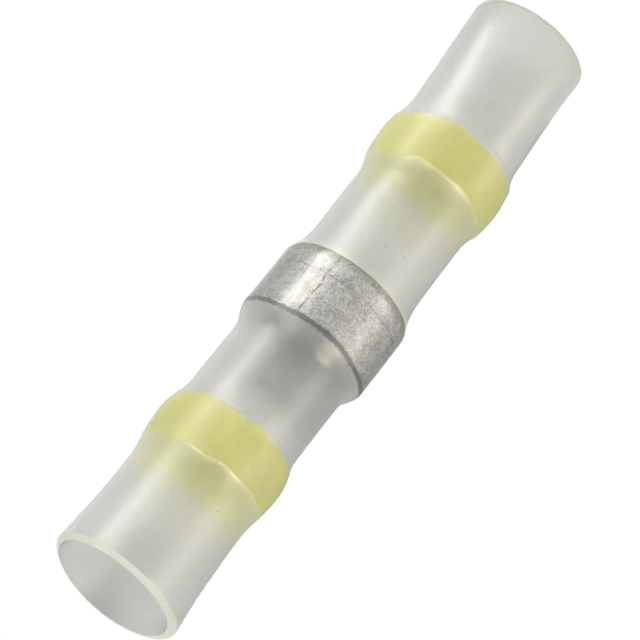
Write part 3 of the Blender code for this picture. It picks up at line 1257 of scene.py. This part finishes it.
@dataclass(frozen=True)
class CastSolder(Finish):
    """Dull cast solder: grey, granular, with painted shade on its end faces and bore, and a few fine marks.

    Args:
        bright: Colour of the clean grains.
        dull: Colour between them.
        dark: Colour of the painted shade on the end faces and bore, and of the marks.
        grain: Size of one grain.
        blotches: The larger blotches of the casting.
        shares: How much the grain and the blotches add to the tone.
        grain_depth: Depth of the cast grain.
        gloss: Lowest and highest roughness.
        bore_face_shade: Where the painted shade of the bore fades, from the outside's radius, and its
            strength at both ends of that.
        top_face_shade: The same for the upper face, from its height.
        foot_face_shade: The same for the lower face.
        lengthwise: Turn angle, half width and stray of the mark along the ring, in degrees.
        crosswise: Share of the ring's height, half width and stray of the mark round it.
        stray: How both marks stray to either side.
        breaks: How strongly the marks show.
    """

    bright: Colour = (0.65, 0.64, 0.60)
    dull: Colour = (0.25, 0.25, 0.25)
    dark: Colour = (0.07, 0.07, 0.07)
    grain: float = 0.1 * MM
    blotches: Pattern = Pattern(0.5 * MM, 4.0, 0.7, levels=(0.5, 0.9))
    shares: tuple[float, float] = (0.8, 0.6)
    grain_depth: float = 0.02 * MM
    gloss: tuple[float, float] = (0.42, 0.60)
    bore_face_shade: Fade = (-0.2 * MM, -0.08 * MM, 0.45, 0.0)
    top_face_shade: Fade = (-0.05 * MM, -0.01 * MM, 0.0, 0.45)
    foot_face_shade: Fade = (0.02 * MM, 0.13 * MM, 0.3, 0.0)
    lengthwise: tuple[float, float, float] = (22.0, 1.2, 1.6)
    crosswise: tuple[float, float, float] = (0.35, 0.06 * MM, 0.05 * MM)
    stray: Pattern = Pattern(0.7 * MM, levels=(0.2, 0.8), values=(-1.0, 1.0))
    breaks: Pattern = Pattern(0.45 * MM, 1.0, levels=(0.42, 0.55), values=(0.05, 0.7))

    def material(self, ring: Ring) -> Material:
        """Make the solder ring's material, with its marks at the ring's own heights.

        Args:
            ring: The solder ring.

        Returns:
            The material.
        """
        material, canvas = self.start("cast_solder")
        sheet = canvas.sheet
        height = self.grained(canvas, self.grain)[0]
        parts = zip((height, sheet.noise(canvas.here, self.blotches)), self.shares)
        tone = sheet.math("ADD", *(sheet.math("MULTIPLY", part, share) for part, share in parts))
        metal = sheet.blend(sheet.span(tone, *self.blotches.levels, 0.0, 1.0), self.dull, self.bright)
        # Painted shade on the end faces and bore, together with the scratches.
        shade_and_scratches = sheet.math("MAXIMUM", self._shaded_faces(canvas, ring), self._scratches(canvas, ring))
        sheet.feed(canvas.shader, {
            "Base Color": sheet.blend(shade_and_scratches, metal, self.dark),
            "Roughness": sheet.span(height, *HIGH_NOISE, *self.gloss),
            "Metallic": 1.0,
            "Normal": sheet.relief(sheet.math("SUBTRACT", tone, shade_and_scratches), self.grain_depth),
        })
        return material

    def _shaded_faces(self, canvas: Canvas, ring: Ring) -> Socket:
        """Find the end faces and the bore, which take painted shade.

        Args:
            canvas: The material to paint.
            ring: The solder ring.

        Returns:
            High on those faces and 0 elsewhere.
        """
        sheet, level = canvas.sheet, canvas.axes["Z"]
        # Painted shade: the bore and both end faces darken.
        faces = (
            (sheet.radius(canvas.turned), ring.full, self.bore_face_shade),
            (level, ring.high, self.top_face_shade), (level, ring.low, self.foot_face_shade),
        )
        inner, top, foot = (
            sheet.span(value, base + start, base + end, low, high, "SMOOTHSTEP")
            for value, base, (start, end, low, high) in faces
        )
        return sheet.math("MAXIMUM", inner, sheet.math("MAXIMUM", top, foot))

    def _scratches(self, canvas: Canvas, ring: Ring) -> Socket:
        """Find one mark along the ring and one round it, both broken and a little wavy.

        Args:
            canvas: The material to paint.
            ring: The solder ring.

        Returns:
            High on the marks and 0 elsewhere.
        """
        sheet = canvas.sheet
        stray = sheet.pattern(canvas.turned, self.stray)
        azimuth, half_width, reach = (math.radians(value) for value in self.lengthwise)
        along = sheet.math("MULTIPLY_ADD", stray, reach, sheet.angle(canvas.axes))
        along = self.mask(sheet, along, Band(azimuth, half_width))
        share, half_width, reach = self.crosswise
        around = sheet.math("MULTIPLY_ADD", stray, reach, canvas.axes["Z"])
        around = self.mask(sheet, around, Band(ring.low + share * (ring.high - ring.low), half_width))
        breaks = sheet.pattern(canvas.turned, self.breaks)
        return sheet.math("MULTIPLY", sheet.math("MAXIMUM", along, around), breaks)


@dataclass(frozen=True)
class LightPanel:
    """A soft light panel that rises from the floor, away from the connector.

    It widens with the distance, so every height of the connector sees it equally wide.

    Args:
        name: The panel's name.
        azimuth: Turn angle at which it lies.
        half_angle: Half its width, as seen from the connector's axis.
        brightness: Radiance of its upper face.
        colour: Colour of its light.
        ends: Distance from the axis and height of its near end and of its far end.
    """

    name: str
    azimuth: float
    half_angle: float
    brightness: float
    colour: Colour
    ends: tuple[tuple[float, float], tuple[float, float]] = PANEL_ENDS

    def lay(self) -> None:
        """Put the panel in the scene, unseen by the camera itself."""
        bpy.ops.object.select_all(action="DESELECT")
        bpy.ops.mesh.primitive_plane_add(size=MM)
        panel = bpy.context.object
        panel.name = self.name
        for vertex in panel.data.vertices:
            reach, height = self.ends[vertex.co.y > 0.0]
            side = math.copysign(self.half_angle, vertex.co.x)
            turn = math.radians(self.azimuth - side)
            across = reach / math.cos(math.radians(side))
            vertex.co = (math.sin(turn) * across, -math.cos(turn) * across, height)
        panel.data.materials.append(self._glow())
        panel.visible_camera = False
        panel.visible_shadow = False
        panel.visible_diffuse = False

    def _glow(self) -> Material:
        """Make the material that gives light from the upper face alone.

        Returns:
            The material.
        """
        material, sheet, shader = new_material(self.name)
        upper = sheet.math("SUBTRACT", 1.0, sheet.add("NewGeometry").outputs["Backfacing"])
        sheet.feed(shader, {
            "Base Color": (0.0, 0.0, 0.0, 1.0),
            "Specular IOR Level": 0.0,
            "Emission Color": (*self.colour, 1.0),
            "Emission Strength": sheet.math("MULTIPLY", upper, self.brightness),
        })
        return material


@dataclass(frozen=True)
class SoftLamp:
    """A soft square lamp that looks at the connector's middle.

    Args:
        name: The lamp's name.
        azimuth: Turn angle at which it hangs.
        elevation: Its angle above the horizon.
        power: Its power in watts.
        colour: Colour of its light.
        distance: Its distance from the connector's foot.
        size: Its side.
        only_gloss: Whether it shows in the gloss alone and lights nothing else.
    """

    name: str
    azimuth: float
    elevation: float
    power: float
    colour: Colour
    distance: float = 0.25
    size: float = 0.09
    only_gloss: bool = True

    def lay(self) -> None:
        """Hang the lamp in the scene."""
        turn, tilt = math.radians(self.azimuth), math.radians(self.elevation)
        away = Vector((math.sin(turn) * math.cos(tilt), -math.cos(turn) * math.cos(tilt), math.sin(tilt)))
        bpy.ops.object.select_all(action="DESELECT")
        bpy.ops.object.light_add(type="AREA", location=away * self.distance)
        lamp = bpy.context.object
        lamp.name = self.name
        lamp.rotation_euler = away.to_track_quat("Z", "Y").to_euler()
        lamp.data.size = self.size
        lamp.data.energy = self.power
        lamp.data.color = self.colour
        lamp.visible_diffuse = lamp.visible_transmission = not self.only_gloss


@dataclass(frozen=True)
class Studio:
    """Pale floor, plain light and the camera at the photograph's viewing angle.

    Args:
        ambient: Level of the room's light from all sides.
        floor_colour: Colour of the floor.
        floor_fill: What the floor shows above its own light where it is looked at.
        floor_size: Side of the floor.
        floor_drop: How far the floor lies below the rim that stands on it.
        camera_distance: Distance from the camera to the aimed point.
        camera_nearest: Distance from which the camera sees things.
        camera_elevation: Angle of the camera above the horizon.
        camera_roll: Turn of the camera about its own view.
        camera_lens: Focal length on a sensor 36 mm wide.
        aim: The point in the middle of the picture.
        lamps: The soft lamps.
        panels: The light panels.
    """

    ambient: float = 0.40
    floor_colour: Colour = (0.80, 0.80, 0.80)
    floor_fill: float = 0.57
    floor_size: float = 3.0
    floor_drop: float = 0.02 * MM
    camera_distance: float = 130.0 * MM
    camera_nearest: float = 5.0 * MM
    camera_elevation: float = 20.0
    camera_roll: float = -142.435
    camera_lens: float = 126.8
    aim: tuple[float, float, float] = (0.1 * MM, 0.0, 22.33 * MM)
    lamps: tuple[SoftLamp, ...] = (
        SoftLamp(
            "overhead_soft_lamp", azimuth=0.0, elevation=90.0, power=0.60, colour=WHITE, distance=0.45,
            size=0.36, only_gloss=False,
        ),
        SoftLamp("key_gloss_lamp", azimuth=38.0, elevation=24.0, power=0.15, colour=WARM_WHITE),
        SoftLamp("side_gloss_lamp", azimuth=-42.0, elevation=24.0, power=0.36, colour=AMBER),
    )
    panels: tuple[LightPanel, ...] = (
        LightPanel("key_light_panel", azimuth=62.0, half_angle=7.5, brightness=7.7, colour=WARM_WHITE),
        LightPanel("front_light_panel", azimuth=44.0, half_angle=10.5, brightness=2.8, colour=WARM_WHITE),
        LightPanel("side_light_panel", azimuth=-60.0, half_angle=12.0, brightness=3.4, colour=CREAM),
        LightPanel("grey_edge_panel", azimuth=-138.0, half_angle=26.0, brightness=0.55, colour=WHITE),
    )

    def set_up(self) -> None:
        """Make the world, the floor, the lamps and the camera."""
        bpy.context.scene.view_settings.view_transform = "Standard"
        self._room()
        self._floor()
        for light in (*self.lamps, *self.panels):
            light.lay()
        self._camera()

    def _looked_at(self, sheet: NodeSheet) -> Socket:
        """Tell looking at something from taking its light.

        Args:
            sheet: The node sheet of what is looked at.

        Returns:
            1 for what the camera, gloss and clear pieces see, 0 for what gives light.
        """
        ray = sheet.add("LightPath").outputs
        seen = sheet.math("ADD", ray["Is Camera Ray"], ray["Is Glossy Ray"])
        seen = sheet.math("ADD", seen, ray["Is Transmission Ray"])
        return sheet.math("MINIMUM", seen, 1.0)

    def _room(self) -> None:
        """A white room that lights with its ambient level."""
        world = bpy.data.worlds.new("white_room")
        bpy.context.scene.world = world
        world.use_nodes = True
        sheet = NodeSheet(world.node_tree)
        level = sheet.span(self._looked_at(sheet), 0.0, 1.0, self.ambient, 1.0)
        sheet.feed(world.node_tree.nodes["Background"], {"Color": (*WHITE, 1.0), "Strength": level})

    def _floor(self) -> None:
        """A pale floor that shows white and keeps the connector's shadow."""
        bpy.ops.object.select_all(action="DESELECT")
        bpy.ops.mesh.primitive_plane_add(size=self.floor_size, location=(0.0, 0.0, -self.floor_drop))
        floor = bpy.context.object
        floor.name = "studio_floor"
        material, sheet, shader = new_material("pale_floor")
        sheet.feed(shader, {
            "Base Color": (*self.floor_colour, 1.0),
            "Roughness": 1.0,
            "Specular IOR Level": 0.0,
            "Emission Color": (*WHITE, 1.0),
            "Emission Strength": sheet.math("MULTIPLY", self._looked_at(sheet), self.floor_fill),
        })
        floor.data.materials.append(material)

    def _camera(self) -> None:
        """The camera, above the front and rolled so that the connector lies aslant."""
        lens = bpy.data.cameras.new("photo_camera")
        lens.lens = self.camera_lens
        lens.clip_start = self.camera_nearest
        camera = bpy.data.objects.new("photo_camera", lens)
        bpy.context.scene.collection.objects.link(camera)
        tilt = math.radians(self.camera_elevation)
        back = Vector((0.0, -math.cos(tilt), math.sin(tilt)))
        camera.location = Vector(self.aim) + back * self.camera_distance
        level = (-back).to_track_quat("-Z", "Y").to_matrix()
        roll = Matrix.Rotation(math.radians(self.camera_roll), 3, "Z")
        camera.rotation_euler = (level @ roll).to_euler()
        bpy.context.scene.camera = camera


def sealing_ring(where: str, above: Side, below: Side) -> Ring:
    """Describe one of the two hot-melt sealing rings.

    Args:
        where: upper or lower.
        above: Its side towards the wide mouth.
        below: Its side towards the square-cut end.

    Returns:
        The ring, in its node's space.
    """
    return Ring(
        f"{where}_hot_melt_ring", (f"{where}_sealing_ring",), Slot.HOT_MELT, above, below,
        rounding=0.07 * MM, dent=0.012 * MM, dent_size=1.4 * MM,
    )


def make_rings() -> tuple[Ring, Ring, Ring]:
    """Describe the three rings.

    Returns:
        The rings, from the lowest up.
    """
    lower = sealing_ring(
        "lower", Side(fall=0.17 * MM, drape=1.65 * MM), Side(fall=0.15 * MM, drape=1.6 * MM)
    )
    upper = sealing_ring(
        "upper", Side(fall=0.15 * MM, drape=1.9 * MM), Side(fall=0.24 * MM, drape=0.97 * MM)
    )
    solder = Ring(
        "cast_solder_ring", ("solder_ring",), Slot.SOLDER,
        Side(fall=0.0, drape=1.9 * MM, leaving=Leaving.BRIDGED),
        Side(fall=0.12 * MM, drape=1.95 * MM, fall_length=0.42 * MM),
        rounding=0.06 * MM, dent=0.014 * MM, dent_size=0.5 * MM,
    )
    return lower, solder, upper


# How the rings' edges stray: pairs of turn angle in degrees and height in millimetres.
UPPER_RING_TOP = (
    (-180, 0.05), (-120, 0.1), (-72, 0.0), (-55, 0.0), (-43, -0.12), (-21, -0.09), (-11, -0.17),
    (-4, -0.09), (6, 0.09), (18, 0.03), (35, 0.03), (52, 0.06), (69, 0.18), (125, 0.1), (180, 0.05),
)
UPPER_RING_FOOT = (
    (-180, 0.1), (-120, 0.2), (-68, 0.32), (-55, 0.16), (-41, 0.13), (-28, 0.03), (-19, 0.0), (-12, -0.08),
    (-6, 0.22), (0, 0.11), (13, 0.1), (33, 0.09), (43, 0.06), (52, 0.2), (62, 0.32), (110, 0.2), (180, 0.1),
)
SOLDER_TOP = (
    (-180, 0.25), (-110, 0.45), (-75, 0.55), (-50, 0.45), (-34, 0.32), (-20, 0.22), (0, 0.18), (15, 0.2),
    (31, 0.26), (50, 0.22), (70, 0.2), (120, 0.15), (180, 0.25),
)
SOLDER_FOOT = (
    (-180, 0.2), (-110, 0.35), (-64, 0.34), (-41, 0.28), (-20, 0.2), (0, 0.17), (20, 0.16), (40, 0.17),
    (65, 0.2), (120, 0.15), (180, 0.2),
)
LOWER_RING_TOP = (
    (-180, 0.1), (-110, 0.05), (-64, 0.05), (-42, 0.03), (-29, 0.0), (-15, 0.03), (0, 0.08), (12, 0.08),
    (21, 0.06), (25, 0.2), (32, 0.36), (42, 0.47), (52, 0.45), (60, 0.33), (75, 0.2), (120, 0.15), (180, 0.1),
)
LOWER_RING_FOOT = (
    (-180, 0.2), (-120, 0.1), (-68, 0.14), (-50, 0.17), (-35, 0.1), (-24, 0.13), (-10, 0.12), (0, 0.1),
    (8, 0.08), (16, 0.05), (22, 0.09), (28, 0.2), (36, 0.32), (46, 0.35), (58, 0.55), (68, 0.5),
    (120, 0.3), (180, 0.2),
)


def shrunk_shape(sleeve: Sleeve) -> ShrunkShape:
    """The whole connector's shape, with the wavy edges that its photograph shows.

    Args:
        sleeve: The sleeve, with its rings.

    Returns:
        The shape.
    """
    lower, solder, upper = sleeve.rings
    seal, preform = (upper.high - upper.low) / 2, (solder.high - solder.low) / 2
    between, outwards = 2.4 * MM, 2.5 * MM
    edges = (
        WavyEdge(upper.high, UPPER_RING_TOP, seal, outwards),
        WavyEdge(upper.low, UPPER_RING_FOOT, between, seal),
        WavyEdge(solder.high, SOLDER_TOP, preform, between),
        WavyEdge(solder.low, SOLDER_FOOT, between, preform),
        WavyEdge(lower.high, LOWER_RING_TOP, seal, between),
        WavyEdge(lower.low, LOWER_RING_FOOT, outwards, seal),
    )
    return ShrunkShape(edges, sleeve.length, sleeve.upper_mouth, sleeve.upper_flare)


def main() -> None:
    """Build the studio and the four pieces."""
    logging.basicConfig(level=logging.INFO, format="%(message)s")
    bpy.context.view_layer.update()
    Studio().set_up()

    rings = make_rings()
    sleeve = Sleeve("frosted_sleeve", ("heat_shrink_sleeve",), Slot.SLEEVE, rings)
    shape = shrunk_shape(sleeve)
    effects = SharedEffects()
    melt = HotMelt(effects).material(sleeve)
    lower, solder, upper = rings
    for ring, material in ((lower, melt), (solder, CastSolder(effects).material(solder)), (upper, melt)):
        ring.make(shape, material)
    finishes = {
        Face.OUTSIDE: TubeOutside, Face.BORE: TubeBore, Face.CUT: TubeCut,
        Face.OVER_SOLDER: TubeOverSolder, Face.OVER_SEAL: TubeOverSeal,
    }
    sleeve.make(shape, *(finishes[face](effects).material(sleeve) for face in Face))


if __name__ == "__main__":
    main()
